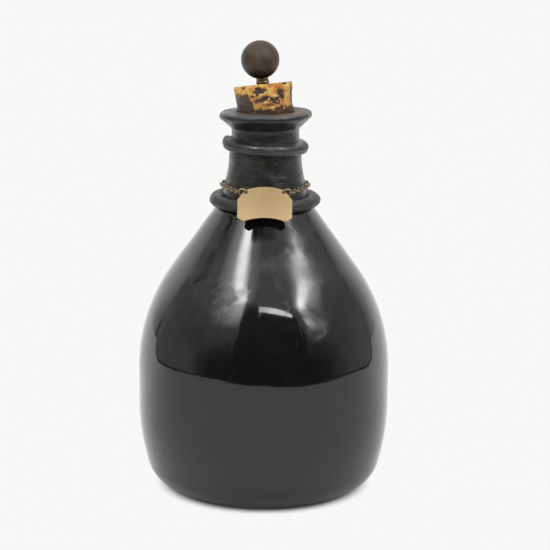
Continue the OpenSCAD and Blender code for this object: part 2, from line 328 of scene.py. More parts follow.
# fine parallel grain along X, as on rubbed or drawn metal
def makeGrain():
    tree, given, result = newGroup("fine grain", {"Scale": 400, "Stretch": 0.05}, ["Value"])
    scale = put(tree, "CombineXYZ", X=given["Stretch"], Y=1.0, Z=1.0).outputs[0]
    point = stretched(tree, objectPoint(tree), scale)
    feed(tree, result["Value"], noiseAt(tree, point, given["Scale"], 4.0, 0.6))
    return tree


smudges = makeSmudges()
specks = makeSpecks()
hairlines = makeHairlines()
edgeWear = makeEdgeWear()
fineGrain = makeGrain()
print("node groups made")


# works for a material and for the world
def emptyTree(owner):
    owner.use_nodes = True
    owner.node_tree.nodes.clear()
    return owner.node_tree


def newMaterial(name):
    material = bpy.data.materials.new(name)
    tree = emptyTree(material)
    shader = put(tree, "BsdfPrincipled")
    put(tree, "OutputMaterial", Surface=shader.outputs[0])
    return material, tree, shader


# a material that goes from one shader to another
def mixedMaterial(name, build):
    material = bpy.data.materials.new(name)
    tree = emptyTree(material)
    share, first, second = build(tree)
    mixed = putInOrder(tree, "MixShader", {}, share, first.outputs[0], second.outputs[0])
    put(tree, "OutputMaterial", Surface=mixed.outputs[0])
    return material


def bumpFrom(tree, height, distance, before=None):
    node = put(tree, "Bump", Height=height, Distance=distance)
    if before is not None:
        feed(tree, node.inputs["Normal"], before)
    return node.outputs[0]


# black glass: mirror-like belly, hazy shoulder, and a dull grey film from the collar to the lip
glassSet = {
    "film": (0.157, 0.169), "haze": (0.095, 0.13), "throat": (0.1974, 0.2024), "mouth": (0.2144, 0.2156),
    "goldSide": (0.002, 0.012), "redAt": (0.0068, -0.0165, 0.2157), "redOver": (0.0015, 0.0042),
    "calmAt": (0.0, -0.0335, 0.1525), "calmOver": (0.009, 0.017),  # clean, even glass under the label
    "smears": [  # middle and reach of each handled patch, and how pale it is
        ((0.0197, -0.0403, 0.1378), 0.012, 0.55), ((-0.0205, -0.0562, 0.1157), 0.013, 0.85),
        ((0.0304, -0.0578, 0.1039), 0.009, 1.0), ((0.0030, -0.0446, 0.1380), 0.010, 0.3),
        ((0.0165, -0.0323, 0.1490), 0.009, 0.45), ((-0.0268, -0.0420, 0.1309), 0.009, 0.25),
    ],
}


def makeBlackGlass(s):
    material, tree, shader = newMaterial("black glass")
    point = objectPoint(tree)
    spot = axes(tree, point)
    film = remap(tree, spot["Z"], *s["film"])
    upper = remap(tree, spot["Z"], *s["haze"])
    cloud = useGroup(tree, smudges, Scale=26.0, Level=0.47, Soft=0.2)
    prints = useGroup(tree, smudges, Scale=95.0, Level=0.53, Soft=0.1)
    uneven = byDistance(tree, point, s["calmAt"], *s["calmOver"])
    haze = times(tree, larger(tree, cloud, prints), times(tree, upper, uneven))
    rubbed = useGroup(tree, smudges, Scale=110.0, Level=0.36, Soft=0.3)
    smear = 0.0
    for middle, reach, strength in s["smears"]:
        smear = larger(tree, smear, byDistance(tree, point, middle, 0.0, reach, strength, 0.0))
    smear = times(tree, smear, rubbed)
    dust = useGroup(tree, specks, Scale=170.0, Size=0.075, Share=0.09)
    lines = useGroup(tree, hairlines, Scale=22.0, Width=0.006, Level=0.6)
    mottle = useGroup(tree, smudges, Scale=110.0, Level=0.45, Soft=0.25)

    dark = mixColour(tree, mottle, (0.0045, 0.0045, 0.0042), (0.0075, 0.007, 0.0063))
    dark = tint(tree, dark, (0.016, 0.0155, 0.0145), haze, 0.6)
    dark = mixColour(tree, smear, dark, (0.085, 0.083, 0.079))
    dull = mixColour(tree, mottle, (0.0060, 0.0053, 0.0040), (0.0165, 0.0146, 0.0112))
    dull = tint(tree, dull, (0.050, 0.043, 0.031), prints, 0.35)
    # painted shade: the film is made darker in the throat, under the lip
    throat = remap(tree, spot["Z"], *s["throat"])
    dull = tint(tree, dull, (0.0035, 0.0033, 0.0028), throat, 0.7)
    colour = mixColour(tree, film, dark, dull)
    colour = tint(tree, colour, (0.18, 0.175, 0.165), dust, 0.7)
    colour = tint(tree, colour, (0.09, 0.088, 0.082), lines, 0.5)

    # the mouth is rubbed paler, with a gold and a red stain beside the cork
    mouth = remap(tree, spot["Z"], *s["mouth"])
    colour = tint(tree, colour, (0.092, 0.090, 0.081), mouth, 0.75)
    blot = useGroup(tree, smudges, Scale=190.0, Level=0.44, Soft=0.12)
    side = times(tree, times(tree, remap(tree, spot["X"], *s["goldSide"]), mouth), blot)
    colour = tint(tree, colour, (0.12, 0.085, 0.03), side, 0.75)
    red = times(tree, byDistance(tree, point, s["redAt"], *s["redOver"], 1.0, 0.0), blot)
    colour = tint(tree, colour, (0.16, 0.045, 0.025), red, 0.9)

    gloss = calc(tree, "MULTIPLY_ADD", haze, 0.16, remap(tree, uneven, 0.0, 1.0, 0.015, 0.055))
    dulled = remap(tree, mottle, 0.0, 1.0, 0.34, 0.48)
    for mask, rough in ((film, dulled), (mouth, 0.62), (smear, 0.3), (lines, 0.35), (dust, 0.5)):
        gloss = larger(tree, gloss, times(tree, mask, rough))
    wire(tree, shader, Base_Color=colour, Roughness=gloss, IOR=1.54)

    def away(scale, detail):
        return times(tree, calc(tree, "SUBTRACT", noiseAt(tree, point, scale, detail), 0.5), uneven)

    wave = bumpFrom(tree, away(55.0, 1.0), 0.00007)
    peel = bumpFrom(tree, away(520.0, 2.0), 0.0000035, wave)
    seeds = useGroup(tree, specks, Scale=110.0, Size=0.09, Share=0.06)
    laps = noiseAt(tree, stretched(tree, point, (1, 1, 3.5)), 95.0, 3.0, 0.55, 0.6)
    tooled = bumpFrom(tree, times(tree, laps, film), 0.00045, peel)
    wire(tree, shader, Normal=bumpFrom(tree, seeds, 0.00008, tooled))
    return material


blackGlass = makeBlackGlass(glassSet)


# laid-on glass: the same glass, worked by hand and duller, with some shine left at the front
def makeLaidGlass():
    material, tree, shader = newMaterial("laid on glass")
    point = objectPoint(tree)
    mottle = useGroup(tree, smudges, Scale=140.0, Level=0.42, Soft=0.25)
    stain = useGroup(tree, smudges, Scale=75.0, Level=0.56, Soft=0.1)
    rub = useGroup(tree, edgeWear, Start=0.505, Full=0.56)
    colour = mixColour(tree, mottle, (0.018, 0.0172, 0.0152), (0.034, 0.0322, 0.0280))
    colour = tint(tree, colour, (0.050, 0.040, 0.028), stain, 0.6)
    colour = tint(tree, colour, (0.07, 0.069, 0.063), rub, 0.25)
    across = axes(tree, point)["X"]
    leftEndDarker = remap(tree, across, -0.0185, -0.0220)  # darker and browner on the far left, over the lapped end
    colour = tint(tree, colour, (0.018, 0.0145, 0.0105), leftEndDarker, 0.8)
    wire(tree, shader, Base_Color=colour, Roughness=remap(tree, mottle, 0.0, 1.0, 0.46, 0.6), IOR=1.4)
    aside = calc(tree, "ABSOLUTE", calc(tree, "SUBTRACT", across, 0.003))
    wire(tree, shader, Coat_Weight=remap(tree, aside, 0.012, 0.020, 0.55, 0.0), Coat_Roughness=0.04)
    ripple = bumpFrom(tree, noiseAt(tree, stretched(tree, point, (1, 1, 2.2)), 110.0, 2.0), 0.00008)
    pits = useGroup(tree, specks, Scale=300.0, Size=0.14, Share=0.06)
    wire(tree, shader, Normal=bumpFrom(tree, pits, -0.00005, ripple))
    return material


laidGlass = makeLaidGlass()
print("glass materials made")


# bottle, blown in one; sizes in mm, the same as the solid's
bottleSet = {
    "bodyR": 72, "beltLow": 51.3, "beltHigh": 68.3, "lowerArc": 142, "heelArc": 19, "shoulderArc": 99,
    "slope": 36, "wall": 4.5, "kickH": 26, "kickR": 38, "neckFootR": 24.1, "neckH": 24, "neckR": 20.4,
    "neckArc": 45, "rimSeat": 12, "throatR": 18.9, "throatArc": 4,
    "lipRise": 11.1, "lipStand": 7, "lipEdge": 2.2, "lipSlope": 48,
    "mouthR": 16, "mouthEdge": 0.7, "boreTaper": 3.5, "boreDepth": 24, "innerHeelEnd": -70, "domeFoot": 0.6,
    "restCurve": [(-0.4, 0.45), (0.1, 0.08), (0.8, 0)],  # from the kick-up's rim on to the resting ring
    # unevenness as (strength, size)
    "turns": 224, "swell": (0.28, 46), "ripple": (0.05, 15), "oval": 0.25, "ovalTurn": 0.8,
    "swellFrom": (2, 22), "calmTo": (150, 172), "calm": 0.75,
    "lipTilt": 1.3, "lipUneven": (0.22, 9), "lipWave": (0.25, 11), "lipInside": (0.2, 2), "lipSmooth": 1,
}


def bottleLines(s):
    slope = math.radians(s["slope"])
    lowerX = s["bodyR"] - s["lowerArc"]
    rise = math.degrees(math.asin((s["beltLow"] - s["heelArc"]) / (s["lowerArc"] - s["heelArc"])))
    heelX = lowerX + (s["lowerArc"] - s["heelArc"]) * math.cos(math.radians(rise))
    shoulderX = s["bodyR"] - s["shoulderArc"]
    endR = shoulderX + s["shoulderArc"] * math.cos(slope)
    endZ = s["beltHigh"] + s["shoulderArc"] * math.sin(slope)
    footZ = endZ + (endR - s["neckFootR"]) / math.tan(slope)
    neckTop = footZ + s["neckH"]
    throatZ = neckTop + s["rimSeat"]
    lipZ = throatZ + s["lipRise"]
    lipTop = lipZ + s["lipEdge"]
    heights = {"footZ": footZ, "neckTop": neckTop, "throatZ": throatZ, "lipZ": lipZ, "lipTop": lipTop}

    kickArc = (s["kickR"] ** 2 + s["kickH"] ** 2) / (2 * s["kickH"])
    kickZ = s["kickH"] - kickArc
    kickEnd = math.degrees(math.atan2(-kickZ, s["kickR"]))
    outer = [(0, s["kickH"])] + arcPoints((0, kickZ), kickArc, 90, kickEnd, 22)[1:-1]
    outer += [(s["kickR"] + r, z) for r, z in s["restCurve"]]
    outer += linePoints(outer[-1], (heelX, 0), 4)
    outer += arcPoints((heelX, s["heelArc"]), s["heelArc"], -90, -rise, 26)
    outer += arcPoints((lowerX, s["beltLow"]), s["lowerArc"], -rise, 0, 20)[1:]
    outer += linePoints((s["bodyR"], s["beltLow"]), (s["bodyR"], s["beltHigh"]), 8)
    outer += arcPoints((shoulderX, s["beltHigh"]), s["shoulderArc"], 0, s["slope"], 36)
    outer += linePoints((endR, endZ), (s["neckFootR"], footZ), 26)

    neckX = s["neckR"] + s["neckArc"]
    reach = (s["neckFootR"] - neckX, footZ - neckTop)
    turn = math.degrees(math.atan2(-reach[1], -reach[0]) - math.acos(s["neckArc"] / math.hypot(*reach)))
    neckFoot = (s["neckFootR"], footZ)
    bend = math.radians(turn)
    tangent = (neckX - s["neckArc"] * math.cos(bend), neckTop - s["neckArc"] * math.sin(bend))
    outer += [neckFoot] + linePoints(neckFoot, tangent, 8)
    outer += arcPoints((neckX, neckTop), s["neckArc"], 180 + turn, 180, 8)
    outer += linePoints((s["neckR"], neckTop), (s["throatR"], throatZ), 8) + [(s["throatR"], throatZ)]

    lipA = math.radians(s["lipSlope"])
    lipX = s["throatR"] + s["lipStand"] - s["lipEdge"]
    lipTangent = (lipX + s["lipEdge"] * math.cos(lipA), lipZ - s["lipEdge"] * math.sin(lipA))
    hollowX = s["throatR"] + s["throatArc"]
    lean = math.cos(lipA) * lipTangent[0] - math.sin(lipA) * lipTangent[1]
    hollowZ = (math.cos(lipA) * hollowX - lean - s["throatArc"]) / math.sin(lipA)
    outer += arcPoints((hollowX, hollowZ), s["throatArc"], 180, 180 - s["lipSlope"], 10)
    outer += linePoints(outer[-1], lipTangent, 6)
    outer += arcPoints((lipX, lipZ), s["lipEdge"], -s["lipSlope"], 90, 14)
    edge = s["mouthEdge"]
    outer += linePoints((lipX, lipTop), (s["mouthR"] + edge, lipTop), 8)
    outer += arcPoints((s["mouthR"] + edge, lipTop - edge), edge, 90, 180, 5)

    taper = math.tan(math.radians(s["boreTaper"]))
    boreLow = (s["mouthR"] - s["boreDepth"] * taper, lipTop - s["boreDepth"])
    innerR = s["neckFootR"] - s["wall"]
    innerZ = endZ + (endR - s["wall"] / math.cos(slope) - innerR) / math.tan(slope)
    coneEnd = (endR - s["wall"] * math.cos(slope), endZ - s["wall"] * math.sin(slope))
    coneTop = (innerR, innerZ)
    inner = linePoints(outer[-1], boreLow, 5) + [boreLow]
    inner += linePoints(boreLow, coneTop, 5) + [coneTop] + linePoints(coneTop, coneEnd, 4)
    inner += arcPoints((shoulderX, s["beltHigh"]), s["shoulderArc"] - s["wall"], s["slope"], 0, 10)
    inner += arcPoints((lowerX, s["beltLow"]), s["lowerArc"] - s["wall"], 0, -rise, 8)
    inner += arcPoints((heelX, s["heelArc"]), s["heelArc"] - s["wall"], -rise, s["innerHeelEnd"], 8)[1:]
    domeR = kickArc + s["wall"]
    domeZ = s["wall"] + s["domeFoot"] - kickZ
    domeEnd = math.degrees(math.atan2(domeZ, math.sqrt(domeR ** 2 - domeZ ** 2)))
    inner += arcPoints((0, kickZ), domeR, domeEnd, 90, 12)[:-1] + [(0, s["kickH"] + s["wall"])]
    return outer, inner, heights


# slow unevenness of hand-blown glass, in mm
def blownSwell(x, y, z, s):
    a = math.atan2(y, x)
    spread = ease(*s["swellFrom"], z) * (1 - s["calm"] * ease(*s["calmTo"], z))
    slow = unevenAt((x, y, z), *s["swell"], (3.1, 7.7, 1.3))
    mid = unevenAt((x, y, z), *s["ripple"], (9.1, 2.2, 5.6))
    return spread * (slow + mid + s["oval"] * math.cos(2 * a + s["ovalTurn"]))


def makeBottle(s):
    outer, inner, heights = bottleLines(s)
    tilt = math.tan(math.radians(s["lipTilt"]))
    rings = []
    for index, (r, z) in enumerate(outer + inner):
        if r < 1e-6:
            rings.append([Vector((0, 0, z)) * mm])
            continue
        ring = []
        inLip = ease(heights["throatZ"], heights["lipZ"], z) * ease(*s["lipInside"], r - s["mouthR"])
        for a in turnsOf(s["turns"]):
            x, y = r * math.cos(a), r * math.sin(a)
            more = blownSwell(x, y, z, s) if index < len(outer) else 0.0
            if heights["throatZ"] < z and r > s["mouthR"] + s["lipSmooth"]:
                more += unevenAt((x, y, z), *s["lipUneven"])
            lift = (unevenAt((x, y, 0), *s["lipWave"]) + x * tilt) * inLip
            grow = (r + more) / r
            ring.append(Vector((x * grow, y * grow, z + lift)) * mm)
        rings.append(ring)
    verts, faces = skinRings(rings)
    bottle = addPiece("bottle_glass", verts, faces)
    bottle.data.materials.append(blackGlass)
    place(bottle, "bottle", ["bottle_body"])
    return heights


bottleAt = makeBottle(bottleSet)
print("bottle made, mouth at", round(bottleAt["lipTop"], 2), "mm")


# a round ring of glass with its section given at each angle
def laidRing(sectionAt, turns):
    rings = []
    for a in turnsOf(turns):
        rings.append([Vector((r * math.cos(a), r * math.sin(a), z)) * mm for r, z in sectionAt(a)])
    return skinRings(rings, loop=True)


# a tube along points, closed at both ends
def tubeAlong(points, radii, sides):
    rings = []
    last = len(points) - 1
    for i, point in enumerate(points):
        along = (points[min(i + 1, last)] - points[max(i - 1, 0)]).normalized()
        side = along.cross(Vector((0, 0, 1))).normalized()
        up = side.cross(along)
        spokes = [side * math.cos(t) + up * math.sin(t) for t in turnsOf(sides)]
        rings.append([(point + spoke * radii[i]) * mm for spoke in spokes])
    return skinRings([[points[0] * mm]] + rings + [[points[-1] * mm]])


def dip(depth, distance, over):
    return depth * math.exp(-(distance / over) ** 2)


# string rim: a flattened trail with a shallow groove, its end lapped over on the left
rimSet = {
    "stand": 4.75, "lobeR": 2.6, "lobeGap": 2.5, "sunk": 1.6, "sections": 29, "turns": 220, "tilt": 2.6,
    "bulge": (2.3, 2.1), "ends": (0.985, -0.985), "backGap": 0.4, "noiseR": 24, "uneven": (0.2, 9),
    "wander": (0.25, 13), "groove": 0.6, "grooveAt": -0.28, "grooveOver": 0.14,
    "tailR": 2.2, "tailTaper": (1.05, 0.8), "tailTurn": (160, 222), "tailZ": (1.65, -0.6),
    "tailSink": (0.95, 1.1), "tailSteps": 34, "tailSides": 18, "tailEnd": 0.02,
    "voxel": 0.38, "soften": 0.5, "softenTimes": 4,
}


def makeStringRim(s, bottle, at):
    seatR = (bottle["neckR"] + bottle["throatR"]) / 2
    rimR = seatR + s["stand"]
    innerR = seatR - s["sunk"]
    half = s["lobeR"] + s["lobeGap"] / 2

    def section(a):
        here = Vector((math.cos(a), math.sin(a), 0)) * s["noiseR"]
        points = []
        for k in range(s["sections"]):
            share = lerp(*s["ends"], k / (s["sections"] - 1))
            bulge = (1 - abs(share) ** s["bulge"][0]) ** (1 / s["bulge"][1])
            groove = dip(s["groove"], share - s["grooveAt"], s["grooveOver"])
            out = unevenAt(here, *s["uneven"], (0, share * 1.6, 0))
            rise = unevenAt(here, *s["wander"], (5, share, 2))
            points.append((lerp(innerR, rimR, bulge) - groove + out * bulge, share * half + rise))
        backR = innerR - s["backGap"]
        return points + [(backR, points[-1][1]), (backR, points[0][1])]

    verts, faces = laidRing(section, s["turns"])
    tail, radii = [], []
    for i in range(s["tailSteps"] + 1):
        t = i / s["tailSteps"]
        a = math.radians(lerp(*s["tailTurn"], t))
        roundEnd = math.sqrt(clamp01(1 - (2 * t - 1) ** 8))
        radii.append(s["tailR"] * roundEnd * lerp(*s["tailTaper"], t) + s["tailEnd"])
        out = rimR - s["tailR"] * s["tailSink"][0] - s["tailSink"][1] * t
        tail.append(Vector((out * math.cos(a), out * math.sin(a), lerp(*s["tailZ"], ease(0, 1, t)))))
    tailVerts, tailFaces = tubeAlong(tail, radii, s["tailSides"])
    offset = len(verts)
    verts += tailVerts
    faces += [tuple(index + offset for index in face) for face in tailFaces]

    turn = Matrix.Rotation(math.radians(s["tilt"]), 4, "Y")
    seat = Vector((0, 0, (at["neckTop"] + bottle["rimSeat"] / 2) * mm))
    rim = addPiece("string_rim_glass", [turn @ v + seat for v in verts], faces)
    fuse = rim.modifiers.new("fuse", "REMESH")
    fuse.mode = "VOXEL"
    fuse.voxel_size = s["voxel"] * mm
    soften = rim.modifiers.new("soften", "SMOOTH")
    soften.factor = s["soften"]
    soften.iterations = s["softenTimes"]
    bakeModifiers(rim)
    rim.data.materials.append(laidGlass)
    place(rim, "bottle", ["string_rim"])


makeStringRim(rimSet, bottleSet, bottleAt)
print("string rim made")


# collar: a heavy ring laid where the neck meets the shoulder, a little flatter below than above
collarSet = {
    "stand": 7.3, "sectionR": 3.9, "drop": 1.1, "under": 0.78, "turns": 240, "sides": 48, "groove": 0.4,
    "grooveAt": -34, "grooveOver": 13, "noiseR": 28, "uneven": (0.3, 11), "wander": (0.3, 14),
    "lumps": (0.035, 6),
}


def makeCollar(s, bottle, at):
    middleR = bottle["neckFootR"] + s["stand"] - s["sectionR"]
    middleZ = at["footZ"] - s["drop"]

    def section(a):
        here = Vector((math.cos(a), math.sin(a), 0)) * s["noiseR"]
        out = unevenAt(here, *s["uneven"], (1, 4, 0))
        rise = unevenAt(here, *s["wander"], (6, 0, 3))
        points = []
        for t in turnsOf(s["sides"]):
            ring = Vector((math.cos(t), math.sin(t), 0))
            turnDeg = math.degrees(math.atan2(ring.y, ring.x))
            size = s["sectionR"] * (1 + unevenAt(here, *s["lumps"], ring * 1.5))
            size -= dip(s["groove"], turnDeg - s["grooveAt"], s["grooveOver"])
            tall = size * ring.y * (s["under"] if ring.y < 0 else 1)
            points.append((middleR + out + size * ring.x, middleZ + rise + tall))
        return points

    verts, faces = laidRing(section, s["turns"])
    collar = addPiece("neck_collar_glass", verts, faces)
    collar.data.materials.append(laidGlass)
    place(collar, "bottle", ["neck_collar"])


makeCollar(collarSet, bottleSet, bottleAt)
print("collar made")


# frame of the stopper: the mouth's middle, leaning to the left
stopperSet = {"lean": 6.5, "corkH": 14, "stemH": 4.7, "stemR": 3.4, "knobR": 10.7, "holeR": 1.85}


def stopperPoint(x, y, z):
    lean = math.radians(stopperSet["lean"])
    across = x * math.cos(lean) - z * math.sin(lean)
    return Vector((across, y, x * math.sin(lean) + z * math.cos(lean) + bottleAt["lipTop"]))


# cork: angles in degrees, 0 at the front and positive to the right; heights as a share of the head
corkSet = {
    "topR": 16.5, "footR": 15.4, "plugH": 20, "gap": 0.3, "slant": 6.5, "crown": 1.0, "noiseR": 16,
    "turns": 288, "rows": 52, "plugRows": 12, "footRings": (4, 8),
    "topRings": (15.2, 13.5, 11.5, 9.5, 7.5, 5.5, 4.0),
    "headFrom": (-0.08, 0.09), "leanOver": (0, 0.36), "worn": 0.5, "wornFrom": 0.93, "wornLeast": 0.15,
    "coarse": (0.3, 4.5), "rough": (0.22, 1.6), "below": 0.15, "chips": (1, 3),
    "topCoarse": (0.35, 3.5), "topRough": (0.2, 1.4), "topBelow": 0.2, "topPits": (0.5, 2.6),
    "skinFrom": -125, "skinTo": (-19, -31), "skinTop": 0.72, "skinSoft": 6, "topSoft": 0.08,
    "pitDeep": 0.8, "pitEdge": (0.45, 1.45), "pitBend": 0.35, "stainOver": (0.02, 0.34),
    "pits": [  # turn, height, reach across and up, strength
        (-9, 0.77, 16, 0.12, 1.0), (-24, 0.60, 5, 0.08, 0.9), (2, 0.53, 11, 0.12, 0.85),
        (38, 0.63, 8, 0.23, 1.0), (24, 0.42, 14, 0.11, 0.9), (51, 0.95, 7, 0.04, 0.9),
        (79, 0.52, 13, 0.45, 1.0), (-43, 0.92, 6, 0.05, 0.8), (-62, 0.72, 8, 0.05, 0.9),
        (12, 0.30, 10, 0.07, 0.6), (-14, 0.42, 8, 0.08, 0.6), (110, 0.60, 20, 0.20, 0.9),
        (140, 0.35, 14, 0.20, 0.9), (165, 0.75, 16, 0.14, 0.9), (-160, 0.50, 18, 0.22, 0.9),
        (-140, 0.85, 10, 0.10, 0.8), (98, 0.25, 12, 0.15, 0.8),
    ],
}


# how deep in a pit, how far into the smooth skin, and how close to the stained foot a spot lies
def corkTone(turnDeg, share, s):
    bend = noise.noise(Vector((turnDeg / 9.0, share * 6.0, 1.7)))
    pit = 0.0
    for at, level, wide, tall, strength in s["pits"]:
        dx = (turnDeg - at + 180) % 360 - 180
        d = math.hypot(dx / wide, (share - level) / tall)
        pit = max(pit, strength * (1 - ease(*s["pitEdge"], d + s["pitBend"] * bend)))
    foot = 1 - ease(*s["stainOver"], share)
    skinTo = lerp(*s["skinTo"], share)
    soft = s["skinSoft"]
    ragged = turnDeg + soft * bend
    skin = ease(s["skinFrom"] - soft, s["skinFrom"] + soft, ragged)
    skin *= 1 - ease(skinTo - soft, skinTo + soft, ragged)
    skin *= 1 - ease(s["skinTop"] - s["topSoft"], s["skinTop"] + s["topSoft"], share + 0.05 * bend)
    return pit, skin, foot


def makeCork(s, stopper, bottle):
    lean = math.radians(stopper["lean"])
    taper = math.tan(math.radians(bottle["boreTaper"]))
    slant = math.tan(math.radians(s["slant"]))
    tones = {"corkPit": [], "corkSkin": [], "corkFoot": []}
    rows = []

    # the top is cut a little slanting, high at the front
    def topAt(y):
        return stopper["corkH"] + s["crown"] - y * slant

    def addSpot(row, point, pit, skin, foot):
        row.append(point * mm)
        for name, value in zip(tones, (pit, skin, foot)):
            tones[name].append(value)

    def flatRow(r, atTop):
        row = []
        for a in turnsOf(s["turns"]):
            x, y = r * math.cos(a), r * math.sin(a)
            bump = unevenAt((x, y, 3), *s["topCoarse"]) - s["topBelow"]
            bump += unevenAt((x, y, 9), *s["topRough"])
            z = topAt(y) + bump * ease(1.5, 4, r) if atTop else -s["plugH"]
            addSpot(row, stopperPoint(x, y, z), 0.3 + unevenAt((x, y, 5), *s["topPits"]), 0.0, 0.75)
        rows.append(row)

    for r in (stopper["holeR"], *s["footRings"]):
        flatRow(r, False)
    shares = [i / s["plugRows"] - 1 for i in range(s["plugRows"])]
    shares += [i / s["rows"] for i in range(s["rows"] + 1)]
    for share in shares:
        row = []
        for a in turnsOf(s["turns"]):
            turnDeg = (math.degrees(a) + 90 + 180) % 360 - 180
            here = Vector((math.cos(a) * s["noiseR"], math.sin(a) * s["noiseR"], share * stopper["corkH"]))
            pit, skin, foot = corkTone(turnDeg, share, s)
            rough = unevenAt(here, *s["rough"]) + unevenAt(here, *s["coarse"]) - s["below"]
            edge = max(s["wornLeast"], 0.6 + unevenAt(here, *s["chips"]))
            edge *= s["worn"] * ease(s["wornFrom"], 1.0, share)
            headR = lerp(s["footR"], s["topR"], max(share, 0)) + rough * (1 - 0.85 * skin)
            headR -= s["pitDeep"] * pit * (1 - skin) + edge
            depth = min(share, 0) * s["plugH"]
            r = lerp(bottle["mouthR"] - s["gap"] + depth * taper, headR, ease(*s["headFrom"], share))
            x, y = r * math.cos(a), r * math.sin(a)
            z = depth if share < 0 else share * topAt(y)
            upright = Vector((x, y, bottleAt["lipTop"] + (z + math.sin(lean) * x) / math.cos(lean)))
            addSpot(row, upright.lerp(stopperPoint(x, y, z), ease(*s["leanOver"], share)), pit, skin, foot)
        rows.append(row)
    for r in (*s["topRings"], stopper["holeR"]):
        flatRow(r, True)

    verts, faces = skinRings(rows, loop=True)
    cork = addPiece("cork_stopper", verts, faces)
    for name, values in tones.items():
        layer = cork.data.attributes.new(name, "FLOAT", "POINT")
        layer.data.foreach_set("value", values)
    cork.data.materials.append(makeCorkMaterial())
    place(cork, "stopper", ["cork"])


# old cork: gold to rust round dark pits, a smooth brown skin on one side, and a stained foot
def makeCorkMaterial():
    material, tree, shader = newMaterial("old cork")
    point = objectPoint(tree)
    tone = {}
    for name in ("corkPit", "corkSkin", "corkFoot"):
        tone[name] = put(tree, "Attribute", {"attribute_name": name}).outputs["Fac"]
    broad = noiseAt(tree, point, 210.0, 5.0, 0.62, 0.8)
    grain = noiseAt(tree, point, 430.0, 5.0, 0.66, 1.2)
    fine = noiseAt(tree, point, 1500.0, 4.0, 0.65)
    wander = put(tree, "TexNoise", Vector=point, Scale=500.0, Detail=3.0).outputs["Color"]
    tall = stretched(tree, point, (1, 1, 1.5))
    bent = vectorCalc(tree, "MULTIPLY_ADD", wander, (0.0016, 0.0016, 0.0016), tall)[0]
    cells = put(tree, "TexVoronoi", Vector=bent, Scale=560.0)
    crumbs = put(tree, "SeparateColor", Color=cells.outputs["Color"]).outputs

    # a tone with its border broken up by crumbs and grain
    def broken(value, coarse, small, low, high):
        for grit, strength in ((crumbs[0], coarse * 0.3), (grain, coarse), (fine, small)):
            value = calc(tree, "ADD", value, times(tree, calc(tree, "SUBTRACT", grit, 0.5), strength))
        return remap(tree, value, low, high)

    gold = ramp(tree, broad, [
        (0.38, (0.50, 0.15, 0.020)), (0.47, (0.66, 0.28, 0.042)),
        (0.53, (0.78, 0.45, 0.08)), (0.62, (0.84, 0.59, 0.16))])
    gold = mixColour(tree, remap(tree, fine, 0.47, 0.62, 0.0, 0.5), gold, (0.44, 0.16, 0.030))
    gold = mixColour(tree, remap(tree, crumbs[1], 0.62, 0.9, 0.0, 0.45), gold, (0.52, 0.20, 0.045))
    gold = mixColour(tree, remap(tree, crumbs[2], 0.7, 0.9, 0.0, 0.6), gold, (0.82, 0.58, 0.20))
    rust = ramp(tree, fine, [(0.42, (0.10, 0.026, 0.012)), (0.58, (0.34, 0.11, 0.030))])
    pitch = ramp(tree, fine, [
        (0.42, (0.014, 0.008, 0.007)), (0.52, (0.046, 0.022, 0.018)), (0.62, (0.15, 0.066, 0.034))])
    colour = mixColour(tree, broken(tone["corkPit"], 2.4, 1.2, 0.34, 0.60), gold, rust)
    colour = mixColour(tree, broken(tone["corkPit"], 2.6, 1.8, 0.46, 0.62), colour, pitch)
    stained = ramp(tree, grain, [
        (0.40, (0.012, 0.006, 0.002)), (0.50, (0.042, 0.016, 0.005)), (0.60, (0.12, 0.044, 0.012))])
    colour = mixColour(tree, broken(tone["corkFoot"], 1.8, 0.8, 0.36, 0.70), colour, stained)
    skin = broken(tone["corkSkin"], 2.4, 0.9, 0.34, 0.54)
    lacquer = ramp(tree, broad, [(0.40, (0.046, 0.029, 0.022)), (0.60, (0.098, 0.062, 0.046))])
    lacquer = mixColour(tree, remap(tree, grain, 0.54, 0.64, 0.0, 0.8), lacquer, (0.022, 0.013, 0.011))
    colour = mixColour(tree, skin, colour, lacquer)
    flecks = useGroup(tree, specks, Scale=800.0, Size=0.28, Share=0.14)
    colour = tint(tree, colour, (0.05, 0.022, 0.014), flecks, 0.6)
    wire(tree, shader, Base_Color=colour, Roughness=remap(tree, skin, 0.0, 1.0, 0.8, 0.5))
    crumb = bumpFrom(tree, grain, 0.0004)
    crumb = bumpFrom(tree, fine, 0.00012, crumb)
    wire(tree, shader, Normal=bumpFrom(tree, flecks, -0.00015, crumb))
    return material


makeCork(corkSet, stopperSet, bottleSet)
print("cork made")


# ball knob: turned, a little uneven, with small dents
knobSet = {
    "across": 96, "rows": 64, "socketH": 9, "uneven": 0.05, "unevenRate": 2.2, "under": (0.2415, 0.2350),
    "dents": 26, "dentDeep": 0.1, "dentSize": (0.04, 0.1), "seed": 7,
}


